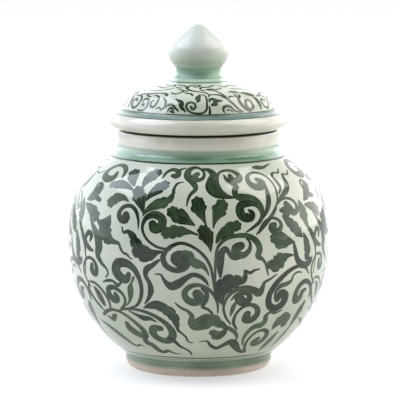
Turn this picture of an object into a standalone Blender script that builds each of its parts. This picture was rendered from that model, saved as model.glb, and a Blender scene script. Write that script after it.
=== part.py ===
"""Ginger jar: a hand-thrown, glazed jar on a foot ring, with a loose domed lid and a pointed knob.

Metres, +Z up. The origin is the centre of the flat underside of the foot ring.
The jar is one body. The lid is another: it rests on the neck's lip and lifts straight up.
"""

import math

import bmesh
import bpy
from mathutils import Vector

MM = 0.001                 # one millimetre, in metres
GAP = 0.3 * MM             # clearance kept between pieces that meet
STEPS = 48                 # facets around a turned piece
WELD = 0.01 * MM           # distance at which a turned piece's ends join

# Driving dimensions: heights above the ground and radii from the jar's axis
FOOT_HEIGHT = 9.0 * MM     # foot ring, from the ground to the underside of the body
FOOT_RADIUS = 42.6 * MM    # foot ring's outer wall
FOOT_INSIDE = 34.5 * MM    # recess inside the foot ring
BELLY_HEIGHT = 77.0 * MM   # level of the widest part
BELLY_RADIUS = 76.0 * MM   # widest part
SEAT_HEIGHT = 139.5 * MM   # neck's lip, where the lid rests
NECK_RADIUS = 47.0 * MM    # neck's outer wall
WALL = 5.2 * MM            # thickness of the thrown wall
FLOOR = 6.0 * MM           # thickness of the jar's floor
RIM_RADIUS = 52.6 * MM     # lid's rolled rim, at its widest
DOME_RADIUS = 46.0 * MM    # lid's dome, where it rises from the rim
DOME_RISE = 29.3 * MM      # lid's flat top, above the seat
DOME_WALL = 4.8 * MM       # thickness of the dome
FLANGE_RADIUS = 40.0 * MM  # locating flange, which drops into the neck
FLANGE_WALL = 3.6 * MM     # thickness of the flange
FLANGE_DEPTH = 12.0 * MM   # reach of the flange below the seat
KNOB_RADIUS = 17.5 * MM    # knob, at its widest
KNOB_FOOT = 15.0 * MM      # knob's base on the dome
KNOB_TIP = 60.5 * MM       # knob's tip, above the seat
KNOB_HOLLOW = 8.4 * MM     # widest part of the hollow inside the knob
VENT_RADIUS = 2.5 * MM     # air hole from the knob's hollow through the dome

# Colours, as linear red, green and blue
CELADON = (0.60, 0.66, 0.56)
PAINTED_CELADON = (0.34, 0.43, 0.36)
BARE_CLAY = (0.60, 0.48, 0.40)


def smooth_curve(stations, per_span):
    """Points along a centripetal Catmull-Rom curve through the stations, ends included."""
    knots = [Vector(station) for station in stations]
    knots = [2 * knots[0] - knots[1], *knots, 2 * knots[-1] - knots[-2]]
    points = [knots[1]]
    for p0, p1, p2, p3 in zip(knots, knots[1:], knots[2:], knots[3:]):
        t1 = math.sqrt((p1 - p0).length)
        t2 = t1 + math.sqrt((p2 - p1).length)
        t3 = t2 + math.sqrt((p3 - p2).length)
        for step in range(1, per_span + 1):
            t = t1 + (t2 - t1) * step / per_span
            a1 = p0.lerp(p1, t / t1)
            a2 = p1.lerp(p2, (t - t1) / (t2 - t1))
            a3 = p2.lerp(p3, (t - t2) / (t3 - t2))
            b1 = a1.lerp(a2, t / t2)
            b2 = a2.lerp(a3, (t - t1) / (t3 - t1))
            points.append(b1.lerp(b2, (t - t1) / (t2 - t1)))
    return points


def inner_side(outer, thickness):
    """The curve one wall thickness inside an outer curve that runs from top to bottom."""
    inner = []
    for above, point, below in zip(outer, outer[1:], outer[2:]):
        along = (below - above).normalized()
        inner.append(point + thickness * Vector((along.y, -along.x)))
    return inner


def material(name, colour, roughness):
    """A Principled BSDF material of one colour."""
    made = bpy.data.materials.new(name)
    made.use_nodes = True
    shader = made.node_tree.nodes["Principled BSDF"]
    shader.inputs["Base Color"].default_value = (*colour, 1.0)
    shader.inputs["Roughness"].default_value = roughness
    shader.inputs["Metallic"].default_value = 0.0
    return made


def turned(name, profile, closed, finish, collection, parent):
    """A piece turned about the Z axis from a profile of (radius, height) points."""
    bm = bmesh.new()
    corners = [bm.verts.new((point[0], 0.0, point[1])) for point in profile]
    for start, end in zip(corners, corners[1:]):
        bm.edges.new((start, end))
    if closed:
        bm.edges.new((corners[-1], corners[0]))
    mesh = bpy.data.meshes.new(name)
    bm.to_mesh(mesh)
    bm.free()
    mesh.materials.append(finish)
    piece = bpy.data.objects.new(name, mesh)
    collection.objects.link(piece)
    piece.parent = parent
    screw = piece.modifiers.new("turn", "SCREW")
    screw.axis = "Z"
    screw.steps = STEPS
    screw.render_steps = STEPS
    screw.use_merge_vertices = True
    screw.merge_threshold = WELD
    screw.use_smooth_shade = True
    return piece


def jar_body_profile():
    """The thrown vessel: up the inside from the floor, over the lip and down the outside."""
    neck = [
        (NECK_RADIUS - 0.1 * MM, SEAT_HEIGHT - 1.2 * MM),
        (NECK_RADIUS + 0.3 * MM, SEAT_HEIGHT - 5.5 * MM),
        (NECK_RADIUS - 0.1 * MM, SEAT_HEIGHT - 9.0 * MM),
        (NECK_RADIUS + 0.9 * MM, SEAT_HEIGHT - 12.4 * MM),
    ]
    shoulder = [
        (51.5 * MM, 124.5 * MM),
        (57.2 * MM, 120.4 * MM),
        (62.6 * MM, 116.2 * MM),
        (68.1 * MM, 109.3 * MM),
        (71.9 * MM, 100.5 * MM),
        (74.8 * MM, 89.5 * MM),
    ]
    belly = [
        (BELLY_RADIUS, BELLY_HEIGHT),
        (75.3 * MM, 62.0 * MM),
        (72.8 * MM, 48.8 * MM),
        (68.2 * MM, 37.2 * MM),
        (60.8 * MM, 25.5 * MM),
        (52.2 * MM, 15.8 * MM),
        (46.4 * MM, 11.0 * MM),
        (44.2 * MM, FOOT_HEIGHT + GAP),
    ]
    outer = smooth_curve(neck + shoulder + belly, 2)
    floor_top = FOOT_HEIGHT + GAP + FLOOR
    inner = [point for point in inner_side(outer, WALL)[::2] if point.y > floor_top + 2.0 * MM]
    inner.reverse()
    floor = [(0.0, floor_top), (0.6 * FOOT_INSIDE, floor_top), (FOOT_RADIUS - 1.0 * MM, floor_top + 0.5 * MM)]
    lip_inside = NECK_RADIUS - WALL
    lip = [(lip_inside + 0.9 * MM, SEAT_HEIGHT), (NECK_RADIUS - 1.1 * MM, SEAT_HEIGHT)]
    underside = [(0.5 * FOOT_INSIDE, FOOT_HEIGHT + GAP), (0.0, FOOT_HEIGHT + GAP)]
    return floor + inner + lip + outer + underside


def foot_ring_profile():
    """The ring that the jar stands on: its outer wall leans in to a narrow flat face."""
    outside = smooth_curve(
        [
            (FOOT_RADIUS + 1.2 * MM, FOOT_HEIGHT),
            (FOOT_RADIUS + 0.2 * MM, 6.6 * MM),
            (FOOT_RADIUS, 4.5 * MM),
            (FOOT_RADIUS - 0.7 * MM, 2.4 * MM),
            (FOOT_RADIUS - 1.8 * MM, 0.8 * MM),
            (FOOT_RADIUS - 3.2 * MM, 0.0),
        ],
        2,
    )
    inside = smooth_curve(
        [
            (FOOT_INSIDE + 1.4 * MM, 0.0),
            (FOOT_INSIDE + 0.4 * MM, 0.8 * MM),
            (FOOT_INSIDE, 2.4 * MM),
            (FOOT_INSIDE - 1.0 * MM, FOOT_HEIGHT),
        ],
        2,
    )
    return outside + inside


def lid_dome_profile():
    """The domed shell with its rolled rim, in heights above the seat: the vent stays open."""
    top = [
        (VENT_RADIUS, DOME_RISE),
        (0.5 * KNOB_FOOT, DOME_RISE),
        (KNOB_FOOT + 0.4 * MM, DOME_RISE),
    ]
    dome = smooth_curve(
        [
            (KNOB_FOOT + 1.5 * MM, DOME_RISE - 0.5 * MM),
            (20.0 * MM, 27.6 * MM),
            (24.6 * MM, 26.5 * MM),
            (31.2 * MM, 24.3 * MM),
            (37.0 * MM, 22.1 * MM),
            (41.2 * MM, 18.9 * MM),
            (43.9 * MM, 14.6 * MM),
            (DOME_RADIUS, 10.9 * MM),
        ],
        2,
    )
    rim = smooth_curve(
        [
            (DOME_RADIUS + 1.0 * MM, 10.4 * MM),
            (49.8 * MM, 9.0 * MM),
            (51.8 * MM, 6.8 * MM),
            (RIM_RADIUS, 4.4 * MM),
            (51.6 * MM, 2.3 * MM),
            (49.6 * MM, 0.9 * MM),
            (48.4 * MM, GAP),
        ],
        2,
    )
    bore = FLANGE_RADIUS - FLANGE_WALL
    crown = DOME_RISE - DOME_WALL
    underside = smooth_curve(
        [
            (bore, GAP),
            (bore + 2.8 * MM, 5.5 * MM),
            (bore + 3.2 * MM, 11.0 * MM),
            (bore, 16.4 * MM),
            (30.0 * MM, 19.6 * MM),
            (20.0 * MM, 22.4 * MM),
            (10.0 * MM, crown - 0.3 * MM),
            (VENT_RADIUS, crown),
        ],
        1,
    )
    return top + dome + rim + underside


def lid_flange_profile():
    """The locating ring under the lid, in heights above the seat: it tapers towards its end."""
    inside = FLANGE_RADIUS - FLANGE_WALL + 0.2 * MM
    end = -FLANGE_DEPTH
    return [
        (FLANGE_RADIUS, 0.0),
        (FLANGE_RADIUS - 0.2 * MM, 0.5 * end),
        (FLANGE_RADIUS - 0.6 * MM, end + 1.4 * MM),
        (FLANGE_RADIUS - 1.2 * MM, end + 0.3 * MM),
        (FLANGE_RADIUS - 1.9 * MM, end),
        (inside + 0.7 * MM, end + 0.4 * MM),
        (inside + 0.1 * MM, end + 1.6 * MM),
        (inside, 0.5 * end),
        (inside, 0.0),
    ]


def lid_knob_profile():
    """The bud-shaped knob, in heights above the seat: thrown hollow and open underneath."""
    base = DOME_RISE + GAP
    outside = smooth_curve(
        [
            (0.0, KNOB_TIP),
            (3.4 * MM, 59.3 * MM),
            (9.4 * MM, 54.4 * MM),
            (14.7 * MM, 49.2 * MM),
            (16.9 * MM, 45.8 * MM),
            (KNOB_RADIUS, 42.3 * MM),
            (16.9 * MM, 39.0 * MM),
            (14.4 * MM, 35.6 * MM),
            (13.0 * MM, 33.8 * MM),
            (13.0 * MM, 31.8 * MM),
            (13.7 * MM, 30.4 * MM),
            (KNOB_FOOT, base),
        ],
        2,
    )
    hollow = smooth_curve(
        [
            (5.0 * MM, base),
            (5.4 * MM, 35.0 * MM),
            (KNOB_HOLLOW, 42.0 * MM),
            (5.6 * MM, 48.0 * MM),
            (0.0, 50.5 * MM),
        ],
        1,
    )
    return outside + hollow


def empty_at(name, height, collection):
    """An empty on the jar's axis, which pieces that move together hang from."""
    guide = bpy.data.objects.new(name, None)
    guide.location = (0.0, 0.0, height)
    collection.objects.link(guide)
    return guide


def build():
    for old in list(bpy.data.objects):
        bpy.data.objects.remove(old, do_unlink=True)
    parts = bpy.data.collections.new("ginger_jar")
    bpy.context.scene.collection.children.link(parts)
    glaze = material("celadon_glaze", CELADON, 0.15)
    painted_jar = material("painted_jar_glaze", PAINTED_CELADON, 0.15)
    painted_lid = material("painted_lid_glaze", PAINTED_CELADON, 0.15)
    knob_glaze = material("knob_glaze", CELADON, 0.12)
    clay = material("bare_clay", BARE_CLAY, 0.7)
    lid_axis = empty_at("lid_axis", SEAT_HEIGHT, parts)
    turned("jar_body", jar_body_profile(), False, painted_jar, parts, None)
    turned("foot_ring", foot_ring_profile(), True, clay, parts, None)
    turned("lid_dome", lid_dome_profile(), True, painted_lid, parts, lid_axis)
    turned("lid_flange", lid_flange_profile(), True, glaze, parts, lid_axis)
    turned("lid_knob", lid_knob_profile(), False, knob_glaze, parts, lid_axis)


build()
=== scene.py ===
"""Looks of a ginger jar: a celadon-glazed jar and lid, painted under the glaze with scrolling leaves.

Metres, +Z up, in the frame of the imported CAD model. Each CAD node is replaced by a finely turned
piece on the same outline. The painting is brush strokes, laid out on the unrolled surface and
cut into the mesh, so that each stroke has crisp edges and knows its own length and breadth.
"""

import math

import bmesh
import bpy
import numpy as np
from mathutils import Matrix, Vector
from mathutils.geometry import delaunay_2d_cdt


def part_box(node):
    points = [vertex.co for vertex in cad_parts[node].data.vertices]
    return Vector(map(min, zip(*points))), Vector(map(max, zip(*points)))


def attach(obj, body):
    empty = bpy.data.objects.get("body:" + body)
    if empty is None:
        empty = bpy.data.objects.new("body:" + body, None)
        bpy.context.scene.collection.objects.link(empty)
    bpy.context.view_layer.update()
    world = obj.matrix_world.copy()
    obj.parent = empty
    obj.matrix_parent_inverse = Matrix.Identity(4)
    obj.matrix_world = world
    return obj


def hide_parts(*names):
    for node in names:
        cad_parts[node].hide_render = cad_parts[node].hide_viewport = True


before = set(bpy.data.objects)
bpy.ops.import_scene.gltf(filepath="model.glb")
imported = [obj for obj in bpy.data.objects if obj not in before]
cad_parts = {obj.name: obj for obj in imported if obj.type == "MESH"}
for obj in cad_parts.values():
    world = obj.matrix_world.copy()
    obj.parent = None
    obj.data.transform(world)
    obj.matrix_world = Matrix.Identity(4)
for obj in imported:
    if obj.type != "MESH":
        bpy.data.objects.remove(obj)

for name in ("Cube", "Light", "Camera"):
    if name in bpy.data.objects:
        bpy.data.objects.remove(bpy.data.objects[name], do_unlink=True)
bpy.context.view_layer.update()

MM = 0.001                # one millimetre, in metres
COLUMNS = 192             # columns of mesh around a turned piece
SPAN_STEPS = 3            # rows of mesh between two corners of a CAD outline
EDGE_SOFTENING = 0.5 * MM     # how far from a sharp corner its rounding starts
WELD = 2e-6               # distance at which vertices join
WOBBLE = 0.10 * MM        # how far a hand-thrown wall strays inwards from a true circle
RING_DEPTH = 0.018 * MM   # depth of the throwing rings
REPEATS = 3               # times each scroll goes round
BLUNT_TIP = 1.7           # width in mm from which a leaf's tip is blunt
BLUNT = 1.3               # how much a blunt tip is widened
NECK_RING = 124.3         # height in mm of the dark ring at the root of the neck, where the scroll ends
FOOT_RING = 12.8          # height in mm where the body's scroll ends above the foot
RIM_RING = 151.4          # height in mm of the dark ring round the dome, where the lid's scroll ends

jar_low, jar_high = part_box("jar_body")
foot_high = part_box("foot_ring")[1]
dome_low, dome_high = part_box("lid_dome")
knob_low, knob_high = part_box("lid_knob")
SEAT = jar_high.z


# ---- outlines

def half_section(node, start):
    """The node's outline at +X as (radius, height) corners, outwards from the one nearest start."""
    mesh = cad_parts[node].data
    linked = {}
    for edge in mesh.edges:
        ends = [mesh.vertices[index].co for index in edge.vertices]
        if all(abs(end.y) < 1e-6 and end.x > -1e-6 for end in ends):
            a, b = [(round(end.x, 6), round(end.z, 6)) for end in ends]
            if a != b:
                linked.setdefault(a, set()).add(b)
                linked.setdefault(b, set()).add(a)
    here = min(linked, key=lambda corner: math.dist(corner, start))
    corners = [here]
    ahead = sorted(linked[here], key=lambda corner: corner[0])
    while ahead:
        here = ahead[-1]
        corners.append(here)
        ahead = [corner for corner in linked[here] if corner not in corners]
    return np.array(corners)


def soften(corners):
    """The outline with each sharp corner cut a little before and after it."""
    kept = [corners[0]]
    for before, corner, after in zip(corners, corners[1:], corners[2:]):
        back, on = before - corner, after - corner
        cosine = -np.dot(back, on) / (np.linalg.norm(back) * np.linalg.norm(on))
        if cosine > math.cos(math.radians(40)):
            kept.append(corner)
            continue
        for way in (back, on):
            cut = min(EDGE_SOFTENING, 0.3 * np.linalg.norm(way))
            kept.append(corner + cut * way / np.linalg.norm(way))
    kept.append(corners[-1])
    return np.array(kept)


def spline(knots, steps):
    """Centripetal Catmull-Rom curve through the rows of knots; the first two columns set its pace."""
    knots = np.asarray(knots, float)
    knots = np.vstack([2 * knots[0] - knots[1], knots, 2 * knots[-1] - knots[-2]])
    gaps = np.sqrt(np.linalg.norm(np.diff(knots[:, :2], axis=0), axis=1)) + 1e-9
    curve = [knots[1]]
    for index in range(1, len(knots) - 2):
        p0, p1, p2, p3 = knots[index - 1:index + 3]
        t1 = gaps[index - 1]
        t2 = t1 + gaps[index]
        t3 = t2 + gaps[index + 1]
        for step in range(1, steps + 1):
            t = t1 + (t2 - t1) * step / steps
            a1 = p0 + (p1 - p0) * t / t1
            a2 = p1 + (p2 - p1) * (t - t1) / (t2 - t1)
            a3 = p2 + (p3 - p2) * (t - t2) / (t3 - t2)
            b1 = a1 + (a2 - a1) * t / t2
            b2 = a2 + (a3 - a2) * (t - t1) / (t3 - t1)
            curve.append(b1 + (b2 - b1) * (t - t1) / (t2 - t1))
    return np.array(curve)


def outline(node, start, closed):
    """The node's outline as a smooth curve inside its box, closed or from axis to axis."""
    corners = half_section(node, start)
    if closed:
        corners = np.vstack([corners, corners[:1]])
    else:
        first, last = ([(0.0, end[1])] if end[0] > 1e-6 else [] for end in (corners[0], corners[-1]))
        corners = np.array([*first, *corners, *last])
    curve = spline(soften(corners), SPAN_STEPS)
    low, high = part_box(node)
    return np.clip(curve, (0.0, low.z), (high.x, high.z))


def split_at(curve, *places):
    """Cuts a curve where it first passes each (radius, height) place, and returns the pieces."""
    cuts = [0]
    for spot in places:
        gap = np.linalg.norm(curve - spot, axis=1)
        gap[:cuts[-1] + 1] = np.inf
        cuts.append(int(gap.argmin()))
    cuts.append(len(curve) - 1)
    return [curve[a:b + 1] for a, b in zip(cuts, cuts[1:])]


# ---- turned surfaces

def stray(azimuth, height):
    """How far a thrown wall lies inside its true circle, in metres: a slow wander and fine rings."""
    wander = np.sin(2 * azimuth + 31 * height + 0.6) + np.sin(3 * azimuth - 47 * height + 2.1)
    rings = np.sin(2 * math.pi * height / (7.5 * MM) + 0.7 * np.sin(azimuth))
    return WOBBLE * (2 + wander) / 4 + RING_DEPTH * (1 + rings) / 2


def place(azimuth, radius, height):
    """Points on a turned surface; azimuth 0 faces the front, and grows towards +X."""
    thrown = np.where(radius > 2 * MM, radius - stray(azimuth, height), radius)
    return np.stack([thrown * np.sin(azimuth), -thrown * np.cos(azimuth), height], axis=-1)


def facing(azimuth, radius, height, d_radius, d_height):
    """Unit normals of a turned surface whose outline runs along (d_radius, d_height)."""
    small = 1e-4
    length = np.hypot(d_radius, d_height)
    d_radius, d_height = d_radius / length, d_height / length
    down = place(azimuth, radius + small * d_radius, height + small * d_height)
    up = place(azimuth, radius - small * d_radius, height - small * d_height)
    right = place(azimuth + small, radius, height)
    left = place(azimuth - small, radius, height)
    normal = np.cross(down - up, right - left)
    true = np.stack([-d_height * np.sin(azimuth), d_height * np.cos(azimuth), d_radius], axis=-1)
    size = np.linalg.norm(normal, axis=-1, keepdims=True)
    normal = np.where(size > 1e-13, normal / np.maximum(size, 1e-13), true)
    return np.where(radius[..., None] > 2.2 * MM, normal, true)


def tangents(curve):
    """Direction of travel at each point of an outline."""
    ahead = np.vstack([curve[1:], 2 * curve[-1:] - curve[-2:-1]])
    behind = np.vstack([2 * curve[:1] - curve[1:2], curve[:-1]])
    return ahead - behind


class Shell:
    """Collects the parts of one turned piece: vertices, normals, faces and paint."""

    def __init__(self):
        self.points, self.normals, self.faces, self.paint = [], [], [], []
        self.count = 0

    def add(self, points, normals, faces, paint):
        self.points.append(points)
        self.normals.append(normals)
        self.faces += [[corner + self.count for corner in face] for face in faces]
        self.paint.append(paint)
        self.count += len(points)
        return self

    def plain(self, curve, lining=False):
        """An unpainted stretch of the outline, turned all the way round; tone -1 marks a lining."""
        rows, wide = len(curve), COLUMNS + 1
        azimuth = np.linspace(-math.pi, math.pi, wide)[None, :].repeat(rows, 0)
        ways = np.hstack([curve, tangents(curve)]).T
        radius, height, d_radius, d_height = ways[..., None].repeat(wide, 2)
        points = place(azimuth, radius, height).reshape(-1, 3)
        normals = facing(azimuth, radius, height, d_radius, d_height).reshape(-1, 3)
        faces = [
            [row * wide + col, (row + 1) * wide + col, (row + 1) * wide + col + 1, row * wide + col + 1]
            for row in range(rows - 1)
            for col in range(COLUMNS)
        ]
        paint = np.zeros((4 * len(faces), 5))
        paint[:, 4] = -1.0 if lining else 0.0
        return self.add(points, normals, faces, paint)

    def painted(self, chart, strokes):
        """A chart's stretch of the outline, with brush strokes cut into it."""
        points, triangles = chart.triangulate(strokes)
        paint = chart.paint(points, triangles, strokes)
        azimuth = points[:, 0]
        radius, height, d_radius, d_height = chart.surface(points[:, 1])
        return self.add(
            place(azimuth, radius, height),
            facing(azimuth, radius, height, d_radius, d_height),
            triangles.tolist(),
            paint.reshape(-1, 5),
        )

    def finish(self, name, finish, body, node, slot):
        """Welds the parts into one object, which replaces its CAD node."""
        mesh = bpy.data.meshes.new(name)
        mesh.from_pydata(np.concatenate(self.points), [], self.faces)
        paint = np.concatenate(self.paint)
        for index, title in enumerate(("ink", "along", "across", "edge", "tone")):
            layer = mesh.attributes.new(title, "FLOAT", "CORNER")
            layer.data.foreach_set("value", np.ascontiguousarray(paint[:, index], np.float32))
        turned = mesh.attributes.new("turned", "FLOAT_VECTOR", "POINT")
        turned.data.foreach_set("vector", np.concatenate(self.normals).astype(np.float32).ravel())
        bm = bmesh.new()
        bm.from_mesh(mesh)
        bmesh.ops.remove_doubles(bm, verts=bm.verts, dist=WELD)
        bm.to_mesh(mesh)
        bm.free()
        normals = np.zeros(3 * len(mesh.vertices), np.float32)
        mesh.attributes["turned"].data.foreach_get("vector", normals)
        mesh.attributes.remove(mesh.attributes["turned"])
        mesh.shade_smooth()
        mesh.normals_split_custom_set_from_vertices(normals.reshape(-1, 3).tolist())
        mesh.materials.append(finish)
        piece = bpy.data.objects.new(name, mesh)
        bpy.context.scene.collection.objects.link(piece)
        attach(piece, body)
        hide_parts(node)


# ---- brushwork

def in_any(spots, *corners):
    """Which of the spots lie inside any of the triangles whose corners are given row by row."""
    turns = []
    for a, b in zip(corners, corners[1:] + corners[:1]):
        leg = (b - a)[None]
        off = spots[:, None] - a[None]
        turns.append(leg[..., 0] * off[..., 1] - leg[..., 1] * off[..., 0])
    turns = np.stack(turns)
    return ((turns >= 0).all(0) | (turns <= 0).all(0)).any(1)


class Stroke:
    """One brush stroke in a chart: a centre line with a left and a right half width."""

    def __init__(self, chart, marks, scallop, weight, step):
        """marks are (azimuth in degrees, level in mm, full width in mm); weight multiplies the width."""
        marks = np.array(marks, float)
        if scallop and marks[-1, 2] > BLUNT_TIP:
            marks[-1, 2] *= BLUNT
        azimuth = np.radians(marks[:, 0])
        across = chart.across(marks[:, 1] * MM)
        scale = chart.surface(across)[0]
        knots = np.stack([azimuth, across, 0.5 * weight * marks[:, 2] * MM / scale], axis=1)
        fine = spline(knots, 16)
        run = np.concatenate([[0], np.cumsum(np.linalg.norm(np.diff(fine[:, :2], axis=0), axis=1))])
        count = max(5, int(run[-1] * scale.mean() / step) + 1)
        at = np.linspace(0, run[-1], count)
        line = np.stack([np.interp(at, run, fine[:, k]) for k in range(3)], axis=1)
        self.centre = line[:, :2]
        self.scale = scale.mean()
        self.run = at
        half = np.maximum(line[:, 2], 0.12 * MM / self.scale)
        self.scalloped = scallop > 0
        self.left, self.right = self.sides(half, at * self.scale, scallop)
        way = np.gradient(self.centre, axis=0)
        way /= np.linalg.norm(way, axis=1, keepdims=True) + 1e-12
        normal = np.stack([-way[:, 1], way[:, 0]], axis=1)
        bend = np.gradient(np.unwrap(np.arctan2(way[:, 1], way[:, 0])), at)
        tight = 0.85 / (np.abs(bend) + 1e-9)
        self.left = np.where(bend > 0, np.minimum(self.left, tight), self.left)
        self.right = np.where(bend < 0, np.minimum(self.right, tight), self.right)
        self.left_line = self.centre + normal * self.left[:, None]
        self.right_line = self.centre - normal * self.right[:, None]

    def sides(self, half, run, scallop):
        """Half widths on both sides; scallop is the length of one bump along each edge, or 0."""
        if not scallop:
            return half, half
        u = run / run[-1]
        count = max(2, round(run[-1] / scallop))
        plain = 0.5 if count < 4 else 0.2
        fade = np.clip(6 * (u - plain), 0, 1)
        notches = [(1 - np.abs(np.sin(math.pi * (count * u + start)))) ** 2.5 for start in (0.25, 0.5)]
        return tuple(half * (1.0 + fade * (0.08 - 0.34 * notch)) for notch in notches)

    def cap(self, end):
        """Points round the stroke's start (end 0) or finish (end -1), from the left line to the right."""
        middle = self.centre[end]
        spoke = self.left_line[end] - middle
        turn = 1.0 if end == 0 else -1.0
        ahead = turn * np.array([-spoke[1], spoke[0]])
        scalloped = self.scalloped and end
        points = []
        for angle in np.linspace(0, math.pi, 18 if scalloped else 6)[1:-1]:
            point = spoke * math.cos(angle) + ahead * math.sin(angle) * (0.9 if scalloped else 1.0)
            if scalloped:
                point = point * (0.84 + 0.28 * abs(math.sin(3 * angle)))
            points.append(middle + point)
        return points

    def loop(self):
        """The closed outline of the stroke."""
        return np.array([*self.left_line, *self.cap(-1), *self.right_line[::-1], *self.cap(0)[::-1]])

    def covers(self, spots):
        """Which of the spots lie under the stroke."""
        hit = np.zeros(len(spots), bool)
        for side in (self.left_line, self.right_line):
            c0, c1, s0, s1 = self.centre[:-1], self.centre[1:], side[:-1], side[1:]
            hit |= in_any(spots, c0, s0, s1) | in_any(spots, c0, s1, c1)
        for end in (0, -1):
            fan = np.array([self.left_line[end], *self.cap(end), self.right_line[end]])
            hit |= in_any(spots, np.repeat(self.centre[[end]], len(fan) - 1, axis=0), fan[:-1], fan[1:])
        return hit

    def measure(self, spots):
        """Each spot's distance along the stroke (mm), place across it (-1 to 1) and depth inside it (mm)."""
        a, b = self.centre[:-1], self.centre[1:]
        leg = b - a
        off = spots[:, None] - a[None]
        t = np.clip((off * leg).sum(-1) / ((leg * leg).sum(-1) + 1e-15), 0, 1)
        gap = off - t[..., None] * leg
        distance = np.linalg.norm(gap, axis=-1)
        side = np.sign(leg[None, :, 0] * off[..., 1] - leg[None, :, 1] * off[..., 0])
        left = self.left[:-1] + (self.left[1:] - self.left[:-1]) * t
        right = self.right[:-1] + (self.right[1:] - self.right[:-1]) * t
        half = np.where(side > 0, left, right)
        depth = half - distance
        best = depth.argmax(1)
        rows = np.arange(len(spots))
        along = self.run[best] + (self.run[best + 1] - self.run[best]) * t[rows, best]
        across = side[rows, best] * distance[rows, best] / half[rows, best]
        depth = np.maximum(depth[rows, best], 0)
        return along * self.scale / MM, np.clip(across, -1, 1), depth * self.scale / MM


class Chart:
    """A turned surface unrolled so that small shapes keep their angles: (azimuth, stretched length)."""

    def __init__(self, curve, by_radius):
        fine = np.stack([
            np.interp(np.linspace(0, len(curve) - 1, 1500), np.arange(len(curve)), curve[:, k])
            for k in (0, 1)
        ], axis=1)
        step = np.linalg.norm(np.diff(fine, axis=0), axis=1)
        middle = 0.5 * (fine[1:, 0] + fine[:-1, 0])
        self.v = -np.concatenate([[0], np.cumsum(step / middle)])
        self.curve = fine
        self.along = tangents(fine)
        self.levels = fine[:, 0] if by_radius else fine[:, 1]

    def across(self, level):
        """Chart ordinate of a level: a radius on the lid, a height on the body."""
        order = np.argsort(self.levels)
        return np.interp(level, self.levels[order], self.v[order])

    def surface(self, v):
        """Radius, height and direction of the outline at chart ordinates v."""
        return [np.interp(-v, -self.v, values) for values in np.hstack([self.curve, self.along]).T]

    def triangulate(self, strokes):
        """Triangles over the whole chart whose edges follow the strokes' outlines."""
        low, high = self.v[-1], 0.0
        pitch = 2 * math.pi / COLUMNS
        rows = max(2, round((high - low) / pitch))
        u = np.linspace(-math.pi, math.pi, COLUMNS + 1)
        v = np.linspace(low, high, rows + 1)
        grid = np.stack(np.meshgrid(u, v), axis=-1).reshape(-1, 2)
        points, edges = [grid], []
        wide = COLUMNS + 1
        edges += [(first + k, first + k + 1) for first in (0, rows * wide) for k in range(COLUMNS)]
        edges += [(first + j * wide, first + (j + 1) * wide) for first in (0, COLUMNS) for j in range(rows)]
        count = len(grid)
        margin = 0.1 * pitch
        for stroke in strokes:
            loop = stroke.loop()
            loop[:, 1] = np.clip(loop[:, 1], low + margin, high - margin)
            size = len(loop)
            edges += [(count + k, count + (k + 1) % size) for k in range(size)]
            points += [loop, stroke.centre[1:-1]]
            count += size + len(stroke.centre) - 2
        flat = [Vector(point) for point in np.concatenate(points)]
        found, _, faces, *_ = delaunay_2d_cdt(flat, edges, [], 0, 1e-7, False)
        found = np.array([point[:] for point in found])
        faces = np.array(faces)
        middle = found[faces].mean(1)
        inside = (abs(middle[:, 0]) < math.pi) & (middle[:, 1] > low) & (middle[:, 1] < high)
        return found, faces[inside]

    def paint(self, points, triangles, strokes):
        """Ink, along, across, edge and tone for each corner of each triangle."""
        corners = points[triangles]
        middle = corners.mean(1)
        paint = np.zeros((len(triangles), 3, 5))
        for index, stroke in enumerate(strokes):
            low, high = stroke.loop().min(0), stroke.loop().max(0)
            near = np.flatnonzero(((middle >= low) & (middle <= high)).all(1))
            near = near[stroke.covers(middle[near])]
            along, across, depth = stroke.measure(corners[near].reshape(-1, 2))
            tone = math.fmod(0.37 + 0.618034 * index, 1.0)
            values = np.stack([np.ones_like(along), along + 40 * index, across, depth, tone + 0 * along], 1)
            paint[near] = values.reshape(-1, 3, 5)
        return paint


# ---- the painting
# Each stroke is a row of marks: azimuth in degrees, level in mm, width in mm, and so on to the next
# mark. A level is a height above the ground on the body, and a radius on the lid. The strokes span
# a third of the way round.

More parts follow.
